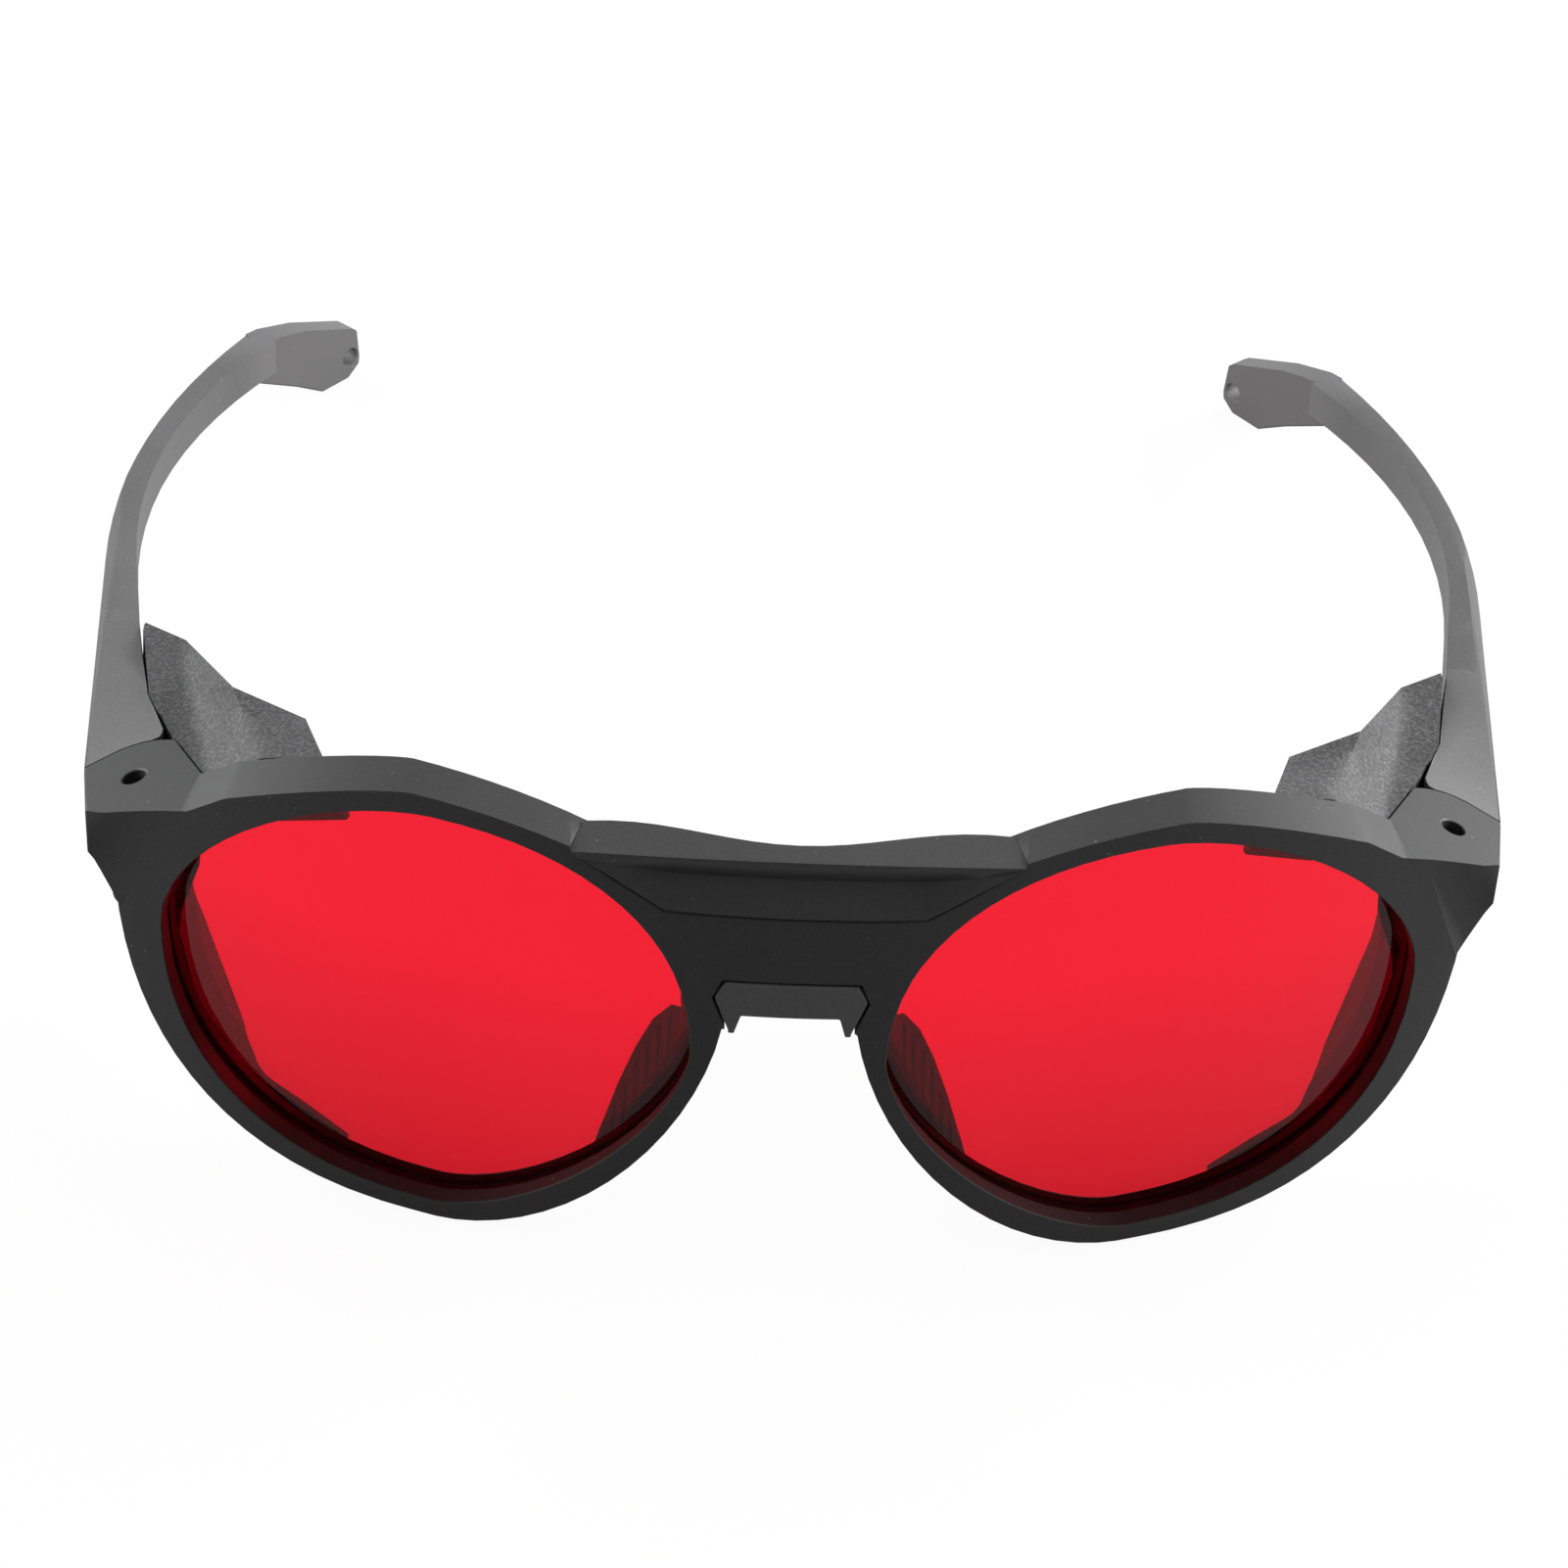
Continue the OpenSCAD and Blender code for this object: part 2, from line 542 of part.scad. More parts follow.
// Side shield: lines from the rim to the free edge, from over the eye round to under it.
// Each line has a point at the rim, one beside the seam, one at the arm's bend and one at the edge.
stops = 4;
shield_in = [pivot[0], pivot[1], 0];
function at_rim(dx, z) = [pivot[0] + dx, rear_y(pivot[0] + dx, z) + shield_gap, z];
function by_slit(p, z) = [p[0] - 0.9 * shield_gap, p[1] + 0.4 * shield_gap, z];
function by_arm(p, dx, dy, z) = [p[0] - shield_gap + dx, p[1] + dy, z];
function straight(a, b, lift) = [for (k = [0 : stops - 1])
  a + (b - a) * k / (stops - 1) + [0, 0, k % (stops - 1) == 0 ? 0 : lift]];
shield_step = shield_in + [-9.5, 8.8, lug_top + 5.2];
shield_peak = shield_in + [-2.1, 29.8, lug_top - 5.7];
kink_z = lug_z(kink[0], kink[1]);
tip_z = kink_z - 5;
shield_lines = [
  straight(at_rim(-20.4, lug_top + 11.2), shield_in + [-17.6, 2.3, lug_top + 6.7], 0),
  straight(at_rim(-13.8, lug_top + 8.3), shield_step, 0),
  straight(at_rim(-8.2, lug_top + 3.1), shield_peak, 0.3),
  [by_slit(slit_end, lug_z(slit_end[0], slit_end[1]) - 0.25), by_slit(seam_in, lug_z(seam_in[0], seam_in[1]) - 0.1),
    by_arm(kink, 0, 0, kink_z), by_arm(shield_tip, 0, 0, tip_z)],
  [by_slit(mid(slit_end, seam_in), lug_top - 13.8), by_arm(seam_in, -0.1, 0.1, lug_top - 13.8),
    by_arm(kink, 0.1, 0, lug_top - 12.9), by_arm(shield_tip, 0.1, -2, lug_top - 14)],
  [at_rim(-3.6, lug_top - 16.5), by_arm(seam_in, 0.6, 0.3, lug_top - 17), by_arm(kink, 0.9, 0, lug_top - 16.6),
    by_arm(shield_tip, 0.4, -4, lug_top - 17.5)],
  [at_rim(-3.2, lug_top - 20), by_arm(seam_in, 0.7, 0, lug_top - 21), by_arm(kink, -0.5, -0.5, lug_top - 22),
    by_arm(shield_tip, -2.6, -9, lug_top - 24.5)],
  [at_rim(-5.2, lug_top - 29), by_arm(seam_in, -1.8, -4, lug_top - 29.4), by_arm(kink, -3.5, -5.5, lug_top - 30),
    by_arm(shield_tip, -5.6, -17.5, lug_top - 31)],
  straight(at_rim(-10.2, lug_top - 35), by_arm(shield_tip, -12.1, -32.3, lug_top - 34.3), 0),
  straight(at_rim(-13, lug_top - 36.9), by_arm(shield_tip, -15.5, -40.1, lug_top - 36.9), 0),
  straight(at_rim(-17.9, lug_top - 38.9), by_arm(shield_tip, -20.6, -42.6, lug_top - 38.9), 0),
  straight(at_rim(-22.3, lug_top - 40.9), by_arm(shield_tip, -25.2, -44.9, lug_top - 40.9), 0)];
// Direction through the wall for each line, in x and z
shield_wall = [[0, -1], [-0.1, -1], [-0.3, -0.95], [-0.6, -0.8], [-1, 0], [-1, 0.1], [-0.95, 0.3], [-0.8, 0.6],
  [-0.5, 0.87], [-0.4, 0.9], [-0.35, 0.94], [-0.25, 0.97]];

module side_shield() settled() {
  rows = len(shield_lines);
  outer = [for (line = shield_lines) each line];
  inner = [for (i = [0 : rows - 1]) for (p = shield_lines[i])
    p + [shield_wall[i][0], 0, shield_wall[i][1]] * shield_t];
  m = len(outer);
  skin = [for (i = [0 : rows - 2]) for (j = [0 : stops - 2]) each [
    [i * stops + j, i * stops + j + 1, (i + 1) * stops + j],
    [i * stops + j + 1, (i + 1) * stops + j + 1, (i + 1) * stops + j]]];
  edge = concat([for (j = [0 : stops - 1]) j], [for (i = [1 : rows - 1]) i * stops + stops - 1],
    [for (j = [stops - 2 : -1 : 0]) (rows - 1) * stops + j], [for (i = [rows - 2 : -1 : 1]) i * stops]);
  polyhedron(points = concat(outer, inner), faces = concat(
    skin, [for (f = skin) [f[2] + m, f[1] + m, f[0] + m]],
    [for (k = [0 : len(edge) - 1]) let (a = edge[k], b = edge[(k + 1) % len(edge)])
      each [[b, a, a + m], [b, a + m, b + m]]]));
}

module side_shield_right() color("#5a5b5e") side_shield();
module side_shield_left() color("#5a5b5e") left() side_shield();

// Arm with its ear piece and its hinge tongue
module arm_plan() polygon(concat([seam_out - [0.5, 5], seam_out],
  arc(outer_c[0], outer_c[1], arm_r, -asin(9 / arm_r), outer_end, 12),
  [for (p = arc(inner_c[0], inner_c[1], inner_r, inner_end, -asin(12 / inner_r), 12)) p],
  [shield_tip + [0.5, 1], kink + [0.1, 0.2], seam_in + [0.15, 0], pivot + [-2.1, 7.4], pivot + [-1.9, 6.8], pivot + [-1.2, 6.55],
  pivot + [0, 3]]));

module ear_piece() intersection() {
  translate([0, 0, -reach / 2]) linear_extrude(reach) polygon([elbow_in - ear_dir * 2.5 + ear_n * 0.3, elbow_out,
    elbow_in + ear_dir * (ear_len + 5) + ear_n * ear_t, elbow_in + ear_dir * (ear_len + 5)]);
  translate([elbow_in[0], elbow_in[1], arm_end_z]) rotate([0, 0, ear_turn]) translate([-10, 0, 0])
    rotate([90, 0, 90]) linear_extrude(20) polygon(ear_line);
}

module tongue() translate([0, 0, tongue_z]) linear_extrude(tongue_h) {
  translate(pivot) circle(r = tongue_r);
  translate(pivot - [neck_in, 0]) square([neck_in + neck_out, 10.3]);
}

module arm() settled() difference() {
  union() {
    difference() {
      intersection() {
        linear_extrude(lug_top + 10) arm_plan();
        translate([0, pivot[1], 0]) along_x(0, pivot[0] + 20) polygon(concat(arm_top, arm_foot));
      }
      difference() {
        beyond([seam_out[0] + seam_n[0] * seam_gap, seam_out[1] + seam_n[1] * seam_gap, 0], [-seam_n[0], -seam_n[1], 0]);
        swing_zone(seam_gap);
      }
    }
    ear_piece();
    intersection() {
      tongue();
      linear_extrude(lug_top) tongue_limits();
    }
  }
  arm_lower_facet();
  arm_inner_facet();
  beyond([pivot[0], pivot[1], lug_top], [-slope_x, -slope_y, 1]);
  translate([pivot[0], pivot[1], 0]) cylinder(r = screw_d / 2 + hinge_play, h = lug_top);
  translate([elbow_in[0], elbow_in[1], 0] + [ear_dir[0], ear_dir[1], 0] * leash_at[0] + [0, 0, leash_at[1]])
    rotate([0, 90, ear_turn]) translate([0, 0, -8]) cylinder(r = leash_d / 2, h = 20);
}

// Keeps the root of the tongue inside the arm
module tongue_limits() polygon([pivot + [-8, -8], pivot + [8, -8], pivot + [8, 5.5], seam_out + [-1, 4],
  seam_in + [0.8, 1.9], pivot + [-8, 8]]);

// Behind the shield the arm's top slopes down towards the face, inside a narrow outer strip
strip_t = 1;
facet_lean = 14;
module arm_inner_facet() intersection() {
  translate([outer_c[0], outer_c[1], top_kink - 9]) rotate([-atan(arm_fall), 0, 0])
    rotate_extrude($fn = 120) polygon([[arm_r - strip_t, 0], [arm_r - strip_t - 8, -8 * tan(facet_lean)],
      [arm_r - strip_t - 8, 5], [arm_r - strip_t, 5]]);
  beyond([0, shield_tip[1] + 1.2, 0], [0, 1, 0]);
}

// The underside facet of the lug runs on along the arm and fades out
module arm_lower_facet() beyond([seam_out[0], seam_out[1], lug_low],
  cross([crease_foot[0] - seam_out[0], 0, crease_foot[1] - lug_low], [2.4, 30, -8.5]));

module temple_right() color("#4a4b4e") arm();
module temple_left() color("#4a4b4e") left() arm();

// Screw: head sunk in the lug, shank through the tongue into the insert
module hinge_screw() settled() translate([pivot[0], pivot[1], 0]) difference() {
  union() {
    translate([0, 0, ear_foot + 1]) cylinder(r = screw_d / 2, h = lug_top - 3 - ear_foot - 0.9);
    translate([0, 0, lug_top - 3]) cylinder(r = screw_head_d / 2, h = 1);
  }
  translate([-0.25, -3, lug_top - 2.5]) cube([0.5, 6, 2]);
}
module hinge_screw_right() color("#26262a") hinge_screw();
module hinge_screw_left() color("#26262a") left() hinge_screw();

module hinge_insert() settled() translate([pivot[0], pivot[1], ear_foot + 0.4]) difference() {
  cylinder(r = insert_d / 2 - fit, h = tongue_z - slot_play - ear_foot - 0.5);
  translate([0, 0, -1]) cylinder(r = screw_d / 2 + 0.01, h = 10);
}
module hinge_insert_right() color("#b08d57") hinge_insert();
module hinge_insert_left() color("#b08d57") left() hinge_insert();

front_frame();
lens_left();
lens_right();
bridge_cover();
nose_saddle();
nose_pad_left();
nose_pad_right();
side_shield_left();
side_shield_right();
temple_left();
temple_right();
hinge_screw_left();
hinge_screw_right();
hinge_insert_left();
hinge_insert_right();
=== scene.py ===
from math import radians, sin, tan

import bmesh
import bpy
from mathutils import Matrix, Vector


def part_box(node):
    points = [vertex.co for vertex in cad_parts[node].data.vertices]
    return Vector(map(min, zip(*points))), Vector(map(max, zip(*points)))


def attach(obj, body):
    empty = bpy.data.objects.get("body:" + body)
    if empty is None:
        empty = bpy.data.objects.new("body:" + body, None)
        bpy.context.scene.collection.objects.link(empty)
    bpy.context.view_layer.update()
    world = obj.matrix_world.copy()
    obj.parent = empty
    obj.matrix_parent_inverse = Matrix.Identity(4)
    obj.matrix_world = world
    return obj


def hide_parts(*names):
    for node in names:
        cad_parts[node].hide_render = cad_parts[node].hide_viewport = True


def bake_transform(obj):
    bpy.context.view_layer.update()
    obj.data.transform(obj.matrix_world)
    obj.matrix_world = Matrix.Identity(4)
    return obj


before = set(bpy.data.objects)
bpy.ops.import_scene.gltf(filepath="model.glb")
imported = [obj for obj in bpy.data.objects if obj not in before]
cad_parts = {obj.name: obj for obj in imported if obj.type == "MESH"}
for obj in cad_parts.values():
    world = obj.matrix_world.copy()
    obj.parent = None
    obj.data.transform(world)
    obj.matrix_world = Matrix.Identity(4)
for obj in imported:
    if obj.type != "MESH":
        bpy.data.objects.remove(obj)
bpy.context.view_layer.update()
scene = bpy.context.scene

MM = 0.001
SIDES = (("left", -1), ("right", 1))  # as seen from the front, with the sign of x
CREASE = 28  # degrees: folds sharper than this stay edges, and most of them get a bevel


# Shader building blocks

def feed(tree, socket, amount):
    """Give a socket a fixed value, or link it to another node's output."""
    if isinstance(amount, bpy.types.NodeSocket):
        tree.links.new(amount, socket)
    else:
        socket.default_value = amount


def node_group(name, inputs, outputs):
    """A shader node group with named sockets, and its input and output nodes."""
    tree = bpy.data.node_groups.new(name, "ShaderNodeTree")
    for label, kind, value in inputs:
        socket = tree.interface.new_socket(name=label, in_out="INPUT", socket_type=kind)
        socket.default_value = value
    for label, kind in outputs:
        tree.interface.new_socket(name=label, in_out="OUTPUT", socket_type=kind)
    return tree, tree.nodes.new("NodeGroupInput"), tree.nodes.new("NodeGroupOutput")


def noise(tree, place, scale, detail=3.0, roughness=0.55):
    node = tree.nodes.new("ShaderNodeTexNoise")
    for label, amount in (("Vector", place), ("Scale", scale),
                          ("Detail", detail), ("Roughness", roughness)):
        feed(tree, node.inputs[label], amount)
    return node.outputs["Fac"]


def ranged(tree, value, from_low, from_high, to_low, to_high):
    """The value, clamped to one range and mapped to another."""
    node = tree.nodes.new("ShaderNodeMapRange")
    node.clamp = True
    for label, amount in (("Value", value), ("From Min", from_low), ("From Max", from_high),
                          ("To Min", to_low), ("To Max", to_high)):
        feed(tree, node.inputs[label], amount)
    return node.outputs["Result"]


def maths(tree, operation, a, b):
    node = tree.nodes.new("ShaderNodeMath")
    node.operation = operation
    feed(tree, node.inputs[0], a)
    feed(tree, node.inputs[1], b)
    return node.outputs[0]


def times(tree, a, b):
    return maths(tree, "MULTIPLY", a, b)


def mixed(tree, factor, a, b):
    """A colour between colours a and b."""
    node = tree.nodes.new("ShaderNodeMix")
    node.data_type = "RGBA"
    feed(tree, node.inputs["Factor"], factor)
    for label, colour in (("A", a), ("B", b)):
        socket = next(s for s in node.inputs if s.name == label and s.type == "RGBA")
        feed(tree, socket, colour)
    return next(s for s in node.outputs if s.type == "RGBA")


def object_place(tree):
    """Object coordinates, as a vector and as its three axes."""
    place = tree.nodes.new("ShaderNodeTexCoord").outputs["Object"]
    axes = tree.nodes.new("ShaderNodeSeparateXYZ")
    tree.links.new(place, axes.inputs[0])
    return place, axes.outputs


def moulded_surface():
    """Moulded plastic or rubber: fine grain, slow changes of tone, stray dust, and ear pieces
    painted paler as painted light for the light that falls on them.
    """
    tree, inside, outside = node_group("moulded_surface", [
        ("Colour", "NodeSocketColor", (0.05, 0.05, 0.05, 1)),
        ("Pale", "NodeSocketColor", (0.09, 0.09, 0.09, 1)),
        ("Grain Size", "NodeSocketFloat", 2600.0), ("Speckle", "NodeSocketFloat", 0.3),
        ("Roughness", "NodeSocketFloat", 0.45), ("Dust", "NodeSocketFloat", 0.3),
        ("Ear Painted Light", "NodeSocketFloat", 0.0)],
        [("Colour", "NodeSocketColor"), ("Roughness", "NodeSocketFloat"),
         ("Height", "NodeSocketFloat")])
    given = inside.outputs
    place, axes = object_place(tree)
    grain = noise(tree, place, given["Grain Size"], 2.0)
    cloud = noise(tree, place, 38.0)
    fleck = noise(tree, place, 1500.0, 2.0, 0.7)
    ear = ranged(tree, axes["Y"], 0.051, 0.06, 0.0, 1.0)

    tone = times(tree, ranged(tree, grain, 0.45, 0.68, 0.0, 1.0), given["Speckle"])
    tone = maths(tree, "ADD", tone, ranged(tree, cloud, 0.35, 0.7, 0.05, 0.3))
    # Painted light: the ear end of an arm is made paler, standing in for the light that falls on
    # it.
    tone = maths(tree, "ADD", tone, times(tree, ear, given["Ear Painted Light"]))
    colour = mixed(tree, tone, given["Colour"], given["Pale"])
    dust = times(tree, ranged(tree, fleck, 0.72, 0.78, 0.0, 1.0), given["Dust"])
    colour = mixed(tree, dust, colour, (0.55, 0.55, 0.56, 1))
    rough = times(tree, given["Roughness"], ranged(tree, cloud, 0.3, 0.7, 0.93, 1.08))

    tree.links.new(colour, outside.inputs["Colour"])
    tree.links.new(rough, outside.inputs["Roughness"])
    tree.links.new(grain, outside.inputs["Height"])
    return tree


MOULDED = moulded_surface()


def material(name, **shader):
    """A material, its node tree and its Principled shader with the named inputs set."""
    made = bpy.data.materials.new(name)
    made.use_nodes = True
    principled = made.node_tree.nodes["Principled BSDF"]
    for label, value in shader.items():
        principled.inputs[label.replace("_", " ")].default_value = value
    return made, made.node_tree, principled


def moulded(name, colour, pale, rough, grain=2600.0, speckle=0.3, dust=0.3, relief=0.012,
            ear_light=0.0, **shader):
    """A material with the moulded surface; relief is the height of its grain in mm, and ear_light
    is painted light on the ear end.
    """
    shader.setdefault("Specular_IOR_Level", 0.32)
    made, tree, principled = material(name, **shader)
    group = tree.nodes.new("ShaderNodeGroup")
    group.node_tree = MOULDED
    for label, value in (("Colour", (*colour, 1)), ("Pale", (*pale, 1)), ("Grain Size", grain),
                         ("Speckle", speckle), ("Roughness", rough), ("Dust", dust),
                         ("Ear Painted Light", ear_light)):
        group.inputs[label].default_value = value
    bump = tree.nodes.new("ShaderNodeBump")
    bump.inputs["Strength"].default_value = 0.6
    bump.inputs["Distance"].default_value = relief * MM
    tree.links.new(group.outputs["Colour"], principled.inputs["Base Color"])
    tree.links.new(group.outputs["Roughness"], principled.inputs["Roughness"])
    tree.links.new(group.outputs["Height"], bump.inputs["Height"])
    tree.links.new(bump.outputs["Normal"], principled.inputs["Normal"])
    return made


def tinted_lens():
    """Red filter lens, darker towards its foot: painted shade for the shadow under the frame seen
    through it.
    """
    made, tree, principled = material("lens_tint", Roughness=0.0, IOR=1.38, Transmission_Weight=1.0)
    axes = object_place(tree)[1]
    # Painted shade: the red darkens towards the lens foot.
    height = ranged(tree, axes["Z"], 0.003, 0.036, 0.0, 1.0)
    colour = mixed(tree, height, (0.60, 0.001, 0.012, 1), (0.90, 0.003, 0.022, 1))
    tree.links.new(colour, principled.inputs["Base Color"])
    return made


frame_plastic = moulded("frame_plastic", (0.029, 0.029, 0.030), (0.047, 0.047, 0.048), 0.42,
                        Specular_IOR_Level=0.26)
# The arms' ear ends get painted light, a paler tone for the light that falls on them.
arm_plastic = moulded("arm_plastic", (0.090, 0.090, 0.092), (0.137, 0.137, 0.140), 0.46, ear_light=1.1)
cover_plastic = moulded("cover_plastic", (0.034, 0.034, 0.035), (0.057, 0.057, 0.058), 0.38)
# A paler copy of the cover's plastic, painted light for its upward-facing facets.
cover_lit_facet = moulded("cover_lit_facet", (0.046, 0.046, 0.047), (0.07, 0.07, 0.071), 0.36)
shield_rubber = moulded("shield_rubber", (0.017, 0.017, 0.018), (0.088, 0.088, 0.091), 0.58,
                        speckle=1.0, dust=1.0, relief=0.03)
saddle_rubber = moulded("saddle_rubber", (0.103, 0.103, 0.105), (0.140, 0.140, 0.143), 0.6,
                        grain=2200.0)
nose_rubber = moulded("nose_rubber", (0.026, 0.026, 0.027), (0.045, 0.045, 0.046), 0.6,
                      grain=2200.0)
# Painted shade: near black for the shaded walls round the lenses.
lens_seat_shade = moulded("lens_seat_shade", (0.010, 0.008, 0.008), (0.016, 0.012, 0.012), 0.5,
                    Specular_IOR_Level=0.15)
# Painted shade: near black for the lens edge in the shaded groove.
lens_edge_shade = moulded("lens_edge_shade", (0.012, 0.006, 0.006), (0.02, 0.01, 0.01), 0.7)
lens_tint = tinted_lens()
screw_steel = moulded("screw_steel", (0.03, 0.03, 0.032), (0.07, 0.07, 0.07), 0.35, Metallic=0.8)
insert_brass = moulded("insert_brass", (0.56, 0.36, 0.13), (0.7, 0.5, 0.22), 0.3, Metallic=1.0)


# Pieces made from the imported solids

def solid_copy(node):
    """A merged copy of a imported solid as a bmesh, with flat regions made one face."""
    bm = bmesh.new()
    bm.from_mesh(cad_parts[node].data)
    bmesh.ops.remove_doubles(bm, verts=bm.verts, dist=0.004 * MM)
    bmesh.ops.dissolve_limit(bm, angle_limit=radians(0.3), verts=bm.verts, edges=bm.edges)
    return bm


def finish_piece(bm, name, body, nodes, finish, crease=CREASE):
    """Turn a bmesh into a shaded piece that rides a body, or no body."""
    for face in bm.faces:
        face.smooth = True
    for edge in bm.edges:
        edge.smooth = len(edge.link_faces) == 2 and edge.calc_face_angle(0) < radians(crease)
    mesh = bpy.data.meshes.new(name)
    bm.to_mesh(mesh)
    bm.free()
    piece = bpy.data.objects.new(name, mesh)
    scene.collection.objects.link(piece)
    mesh.materials.append(finish)
    if body:
        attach(piece, body)
    if nodes:
        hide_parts(*nodes)
    return piece


def edge_room(edge, sharp):
    """How far the bevel of an edge may reach before it meets a neighbouring vertex."""
    room = 1.0
    for face in edge.link_faces:
        for loop in face.loops:
            if loop.edge is not edge:
                continue
            before, after = loop.link_loop_prev, loop.link_loop_next
            for vert, other in ((loop.vert, before.edge), (after.vert, after.edge)):
                along = edge.other_vert(vert).co - vert.co
                aside = other.other_vert(vert).co - vert.co
                turn = along.angle(aside, 0.01)
                if other in sharp:
                    half_turn = min(turn, radians(179)) / 2
                    room = min(room, 0.5 * aside.length * abs(tan(half_turn)))
                else:
                    room = min(room, aside.length * max(sin(turn), 0.02))
    return room


def runs_on(a, b, vert):
    """Whether two edges that meet in a vertex go nearly straight on there."""
    ways = [edge.other_vert(vert).co - vert.co for edge in (a, b)]
    return ways[0].angle(ways[1], 0) > radians(140)


def mark_edges(bm, width, broad=None):
    """Give every sharp edge a bevel weight and return the width in metres that weight 1 means.

    A bevel is even along each run of edges and never wider than there is room. Broad is a y
    and a width in mm: behind that y long runs get that width and short ones stay sharp.
    """
    layer = bm.edges.layers.float.new("bevel_weight_edge")
    sharp = {e for e in bm.edges if len(e.link_faces) == 2
             and radians(CREASE) < e.calc_face_angle(0) < radians(172)}
    run = {e: e for e in sharp}

    def root(e):
        while run[e] is not e:
            e = run[e]
        return e

    for vert in bm.verts:
        here = [e for e in vert.link_edges if e in sharp]
        for i, a in enumerate(here):
            for b in here[i + 1:]:
                if runs_on(a, b, vert):
                    run[root(a)] = root(b)

    room, length = {}, {}
    for e in sharp:
        room[root(e)] = min(room.get(root(e), 1.0), edge_room(e, sharp))
        length[root(e)] = length.get(root(e), 0.0) + e.calc_length()

    least, short = 0.05 * MM, 12 * MM
    top = max(width, broad[1] if broad else 0) * MM
    for e in sharp:
        wish = width
        if broad and min(v.co.y for v in e.verts) > broad[0]:
            wish = broad[1] if length[root(e)] > short else 0
        given = min(wish * MM, 0.42 * room[root(e)])
        e[layer] = given / top if given > least else 0.0
    return top


def rounded(node, body, finish, width, segments=2, broad=None, change=None):
    """A solid's piece with its sharp edges rounded by width mm, after an optional change."""
    bm = solid_copy(node)
    if change:
        change(bm)
    reach = mark_edges(bm, width, broad)
    piece = finish_piece(bm, node + "_piece", body, [node], finish)
    bevel = piece.modifiers.new("edges", "BEVEL")
    bevel.width = reach
    bevel.segments = segments
    bevel.limit_method = "WEIGHT"
    bevel.use_clamp_overlap = False
    bevel.harden_normals = True
    return piece


def shade_lens_seats(bm):
    """The walls round the two lenses take the frame's second material, a near-black painted shade
    for the shade in the lens seats.
    """
    lens_reach, bridge_half = 0.036, 0.006
    for side, hand in SIDES:
        low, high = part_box("lens_" + side)
        middle = (Vector(low) + Vector(high)) / 2
        for face in bm.faces:
            centre = face.calc_center_median()
            inward = middle - centre
            if (abs(face.normal.y) < 0.45 and face.normal.dot(inward) > 0
                    and inward.length < lens_reach and hand * centre.x > bridge_half):
                face.material_index = 1


def open_cover_seam(bm):
    """Deepen the cover's long crease, give its upper facets a paler copy of its material as painted
    light, open a seam under its edge.
    """
    deeper, seam, foot_half, rear = 0.7 * MM, 0.32 * MM, 0.0205, -0.055
    front = {f for f in bm.faces if f.normal.y < -0.5}
    # Painted light: front facets that face upwards get the paler copy of the cover's plastic.
    for face in front:
        face.material_index = 1 if face.normal.z > 0.25 else 0

    valley = {v for e in bm.edges if not e.is_convex and set(e.link_faces) <= front
              for v in e.verts}
    for vert in valley:
        at_ridge = any(e.is_convex and e.calc_face_angle(0) > 0.25 for e in vert.link_edges)
        if all(f in front for f in vert.link_faces) and not at_ridge:
            vert.co.y += deeper

    under = [f for f in bm.faces if f.normal.z < -0.35 and abs(f.normal.y) < 0.4
             and f.calc_center_median().y < rear]
    for vert in {v for f in under for v in f.verts}:
        if abs(vert.co.x) < foot_half:
            vert.co.z += seam


def ground_lens(side):
    """A lens whose faces are clear and whose edge, hidden in the groove, is ground and coloured
    near black as painted shade for the groove.
    """
    bm = solid_copy("lens_" + side)
    for face in bm.faces:
        # The edge faces take the painted-shade material.
        face.material_index = 1 if abs(face.normal.y) < 0.5 else 0
    piece = finish_piece(bm, "lens_%s_piece" % side, "front", ["lens_" + side], lens_tint)
    piece.data.materials.append(lens_edge_shade)


def side_shield(side, hand):
    """A soft shield: its solid's skin cut fine and its folds eased."""
    longest, rim_fold, flank_y, outward = 1.6 * MM, 50, -0.033, 0.25 * MM
    bm = bmesh.new()
    bm.from_mesh(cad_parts["side_shield_" + side].data)
    bmesh.ops.remove_doubles(bm, verts=bm.verts, dist=0.002 * MM)
    for _ in range(4):
        cut = [e for e in bm.edges if e.calc_length() > longest]
        bmesh.ops.subdivide_edges(bm, edges=cut, cuts=1)
        bmesh.ops.triangulate(bm, faces=bm.faces)

    rim = {v for e in bm.edges if e.calc_face_angle(0) > radians(rim_fold) for v in e.verts}
    skin = [v for v in bm.verts if v not in rim]
    for _ in range(7):
        bmesh.ops.smooth_vert(bm, verts=skin, factor=0.5,
                              use_axis_x=True, use_axis_y=True, use_axis_z=True)
    bm.normal_update()

    # The wall beside the arm stands closer to it, so that no light shows through the slit
    for vert in bm.verts:
        if hand * vert.normal.x > 0.6 and vert.co.y > flank_y:
            vert.co.x += hand * outward
    shield = finish_piece(bm, "side_shield_%s_piece" % side, None, ["side_shield_" + side],
                          shield_rubber, crease=rim_fold)
    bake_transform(shield)


def lens_flap(side, hand):
    """The small tab behind the top outer corner of a lens, seen through it."""
    bm = bmesh.new()
    bmesh.ops.create_cube(bm, size=1)
    bmesh.ops.scale(bm, vec=(8.8 * MM, 1.0 * MM, 6.4 * MM), verts=bm.verts)
    bmesh.ops.bevel(bm, geom=list(bm.edges), offset=0.35 * MM, offset_type="OFFSET", segments=3,
                    profile=0.5, affect="EDGES", clamp_overlap=True, material=-1)
    for angle, axis in ((24, "Y"), (22, "Z")):
        turn = Matrix.Rotation(radians(hand * angle), 3, axis)
        bmesh.ops.rotate(bm, verts=bm.verts, matrix=turn)
    bmesh.ops.translate(bm, verts=bm.verts, vec=(hand * 0.0496, -0.0541, 0.0489))
    finish_piece(bm, "lens_flap_" + side, "front", [], nose_rubber)


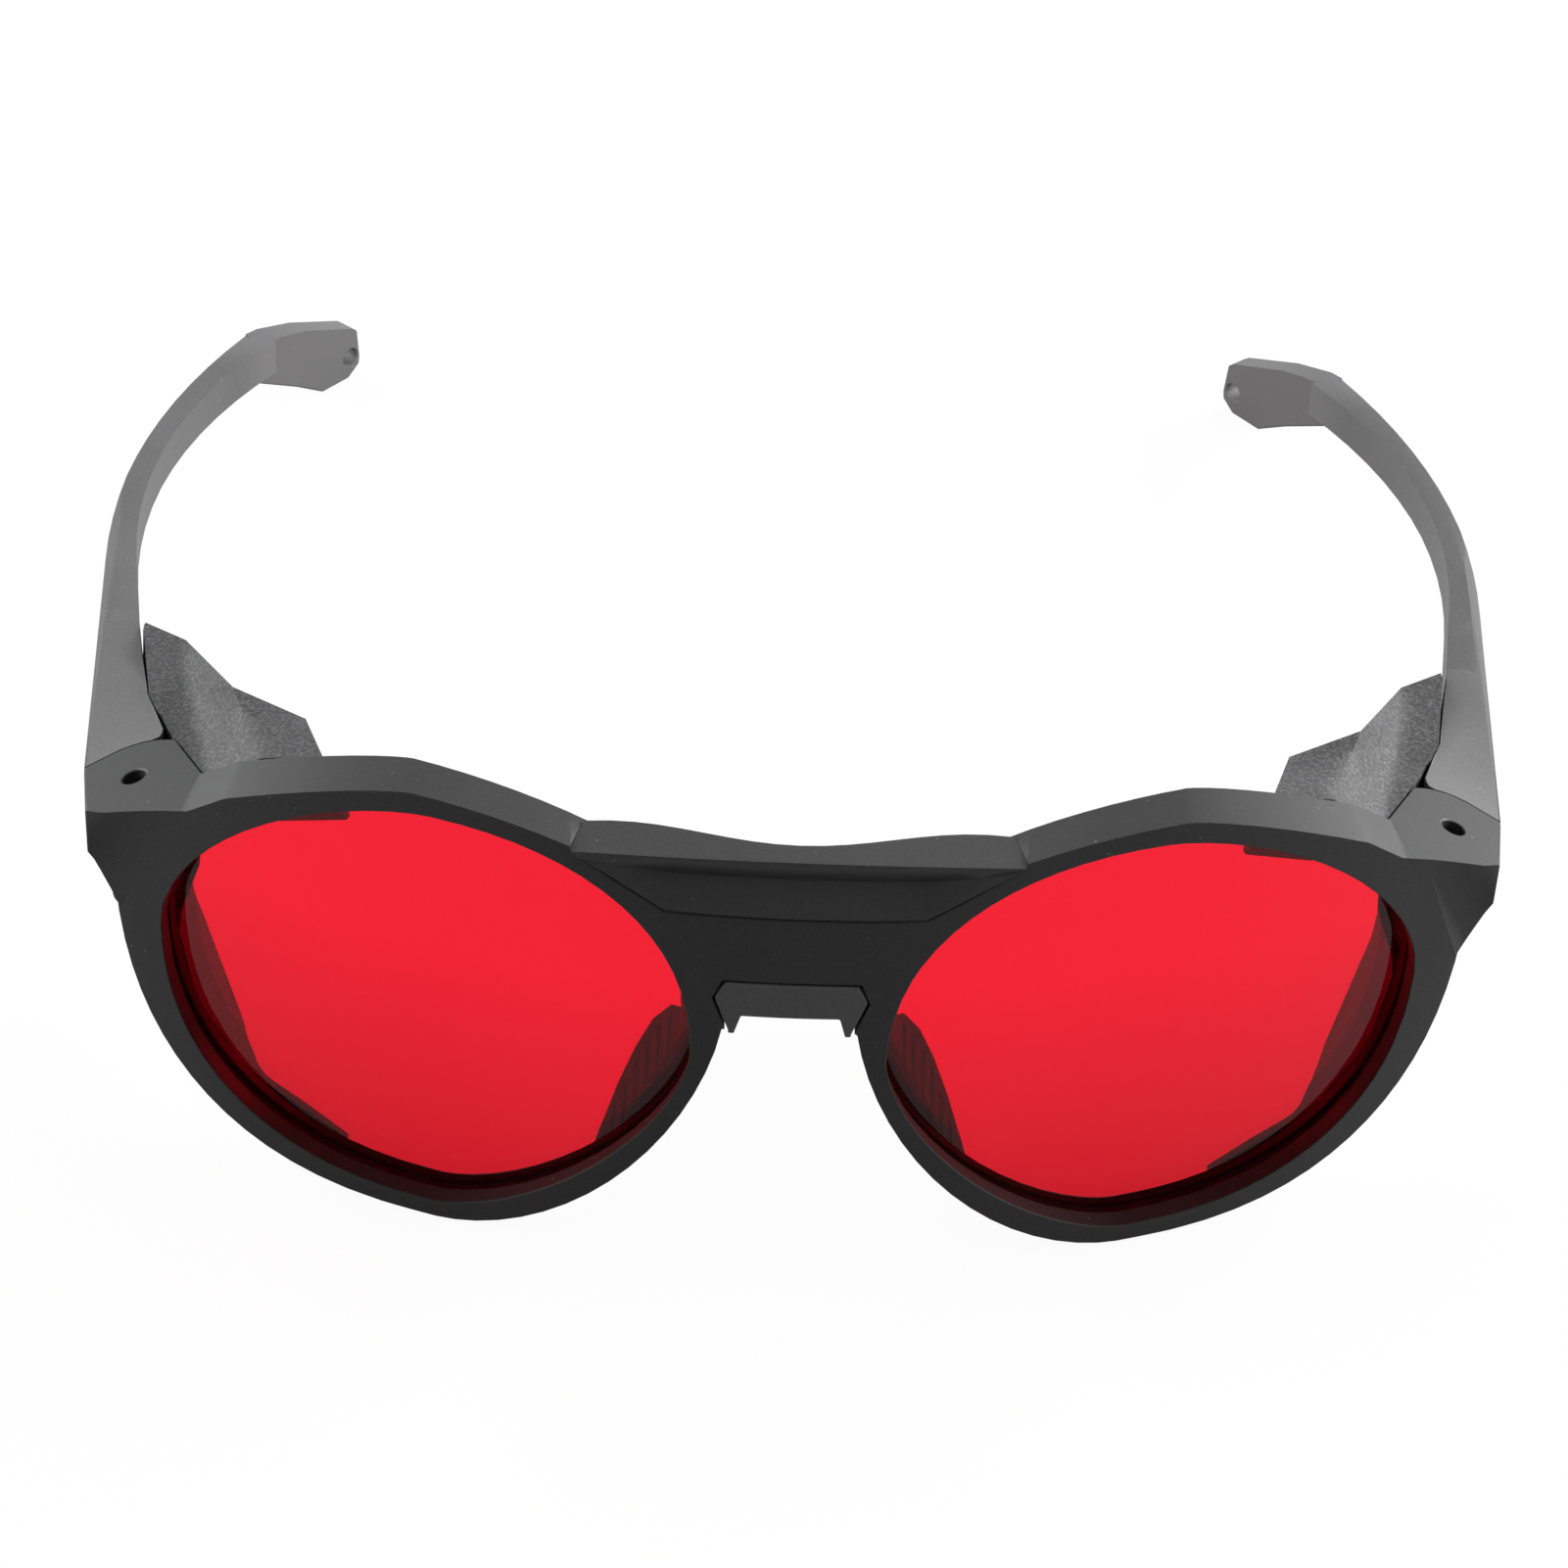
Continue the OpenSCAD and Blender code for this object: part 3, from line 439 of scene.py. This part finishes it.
front_piece = rounded("front_frame", "front", frame_plastic, 0.25, change=shade_lens_seats)
front_piece.data.materials.append(lens_seat_shade)
cover_piece = rounded("bridge_cover", "front", cover_plastic, 0.2, change=open_cover_seam)
cover_piece.data.materials.append(cover_lit_facet)
rounded("nose_saddle", "front", saddle_rubber, 0.25)
for side, hand in SIDES:
    rounded("nose_pad_" + side, "front", nose_rubber, 0.2)
    rounded("temple_" + side, "temple_" + side, arm_plastic, 0.25, 3, broad=(0.0555, 0.6))
    ground_lens(side)
    for node, finish in (("hinge_screw_", screw_steel), ("hinge_insert_", insert_brass)):
        solid_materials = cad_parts[node + side].data.materials
        solid_materials.clear()
        solid_materials.append(finish)
for side, hand in SIDES:
    side_shield(side, hand)
for side, hand in SIDES:
    lens_flap(side, hand)


# Floor, light and camera

def seen_rays(tree, glossy):
    """1 for what the camera sees straight or through the lenses, less for reflections."""
    path = tree.nodes.new("ShaderNodeLightPath").outputs
    clear = maths(tree, "MAXIMUM", path["Is Camera Ray"], path["Is Transmission Ray"])
    return maths(tree, "MAXIMUM", clear, times(tree, path["Is Glossy Ray"], glossy))


def white_floor():
    """A floor that looks white with a faint shadow, and reflects little onto the pieces."""
    bm = bmesh.new()
    bmesh.ops.create_grid(bm, x_segments=1, y_segments=1, size=3)
    mesh = bpy.data.meshes.new("floor")
    bm.to_mesh(mesh)
    bm.free()
    piece = bpy.data.objects.new("floor", mesh)
    scene.collection.objects.link(piece)

    made, tree, principled = material("floor_white", Roughness=0.9, Specular_IOR_Level=0.0)
    glow = tree.nodes.new("ShaderNodeEmission")
    glow.inputs["Strength"].default_value = 1.0
    mix = tree.nodes.new("ShaderNodeMixShader")
    seen = seen_rays(tree, 0.15)
    colour = mixed(tree, seen, (0.25, 0.25, 0.25, 1), (0.9, 0.9, 0.9, 1))
    tree.links.new(colour, principled.inputs["Base Color"])
    tree.links.new(times(tree, seen, 0.94), mix.inputs["Fac"])
    tree.links.new(principled.outputs[0], mix.inputs[1])
    tree.links.new(glow.outputs[0], mix.inputs[2])
    tree.links.new(mix.outputs[0], tree.nodes["Material Output"].inputs["Surface"])
    mesh.materials.append(made)


def area_light(name, place, aim, size, power):
    data = bpy.data.lights.new(name, "AREA")
    data.shape = "RECTANGLE"
    data.size, data.size_y = size
    data.energy = power
    lamp = bpy.data.objects.new(name, data)
    lamp.location = place
    lamp.rotation_euler = (Vector(aim) - Vector(place)).to_track_quat("-Z", "Y").to_euler()
    scene.collection.objects.link(lamp)


white_floor()
area_light("overhead_box", (0.0, 0.45, 0.78), (0.0, 0.0, 0.02), (1.1, 0.8), 2.6)
area_light("left_box", (-0.88, 0.3, 0.32), (0.0, 0.0, 0.03), (1.2, 0.5), 17.0)
area_light("right_box", (0.88, 0.3, 0.32), (0.0, 0.0, 0.03), (1.2, 0.5), 24.0)
area_light("front_box", (0.0, -0.5, 0.95), (0.0, 0.0, 0.03), (0.7, 0.4), 1.6)

world = bpy.data.worlds.new("studio")
world.use_nodes = True
scene.world = world
background = world.node_tree.nodes["Background"]
background.inputs["Color"].default_value = (1, 1, 1, 1)
backdrop = ranged(world.node_tree, seen_rays(world.node_tree, 0.25), 0.0, 1.0, 0.04, 1.0)
world.node_tree.links.new(backdrop, background.inputs["Strength"])

# The camera that was fitted to the photograph
camera_data = bpy.data.cameras.new("camera")
camera_data.sensor_width = 36
camera_data.lens = 112.969
camera = bpy.data.objects.new("camera", camera_data)
camera.location = (-0.011542, -0.405975, 0.398697)
camera.rotation_euler = (radians(45.40919), radians(-2.38754), radians(0.72324))
scene.collection.objects.link(camera)
scene.camera = camera
scene.view_settings.view_transform = "Standard"
